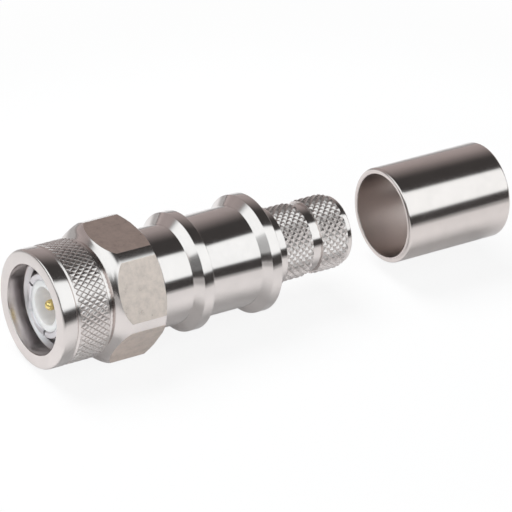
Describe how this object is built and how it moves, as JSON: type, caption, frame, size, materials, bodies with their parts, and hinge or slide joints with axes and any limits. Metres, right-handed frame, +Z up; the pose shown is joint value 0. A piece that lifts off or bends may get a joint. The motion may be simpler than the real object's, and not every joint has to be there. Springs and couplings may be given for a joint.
{
  "type": "tnc coaxial cable plug with crimp ferrule",
  "caption": "Straight threaded coaxial cable plug: knurled and hexagonal coupling nut over a turned body with two collars and a knurled braid tube, and its separate crimp ferrule.",
  "frame": {"origin": "centre of the coupling nut's front face, on the connector's axis", "axes": "+X along the connector's axis from the mating face to the cable end, +Z up and square to a flat of the nut's hexagon, +Y to the side"},
  "size_m": [0.0681, 0.0176, 0.0158],
  "materials": {
    "nut_nickel": "bright nickel plate over turned brass",
    "body_nickel": "bright nickel plate over turned brass",
    "contact_nickel": "satin nickel plate over spring bronze",
    "contact_gold": "bright gold plate over brass",
    "ring_bronze": "bare spring bronze, satin",
    "ptfe": "waxy white PTFE",
    "seal_rubber": "matt silicone rubber",
    "ferrule_nickel": "soft satin nickel plate over annealed copper alloy"
  },
  "bodies": {
    "plug_body": {"body": "body_nickel", "outer_contact": "contact_nickel", "front_insulator": "ptfe", "rear_insulator": "ptfe", "centre_contact": "contact_gold", "gasket": "seal_rubber", "snap_ring": "ring_bronze"},
    "nut": {"coupling_nut": "nut_nickel"},
    "ferrule": {"crimp_ferrule": "ferrule_nickel"}
  },
  "joints": [
    {"name": "nut_spin", "type": "hinge", "parent": "plug_body", "child": "nut", "pos_m": [0.0125, 0, 0], "axis": [1, 0, 0], "continuous": true},
    {"name": "ferrule_slide", "type": "slide", "parent": "plug_body", "child": "ferrule", "axis": [1, 0, 0], "range_m": [-0.0203, 0]}
  ]
}
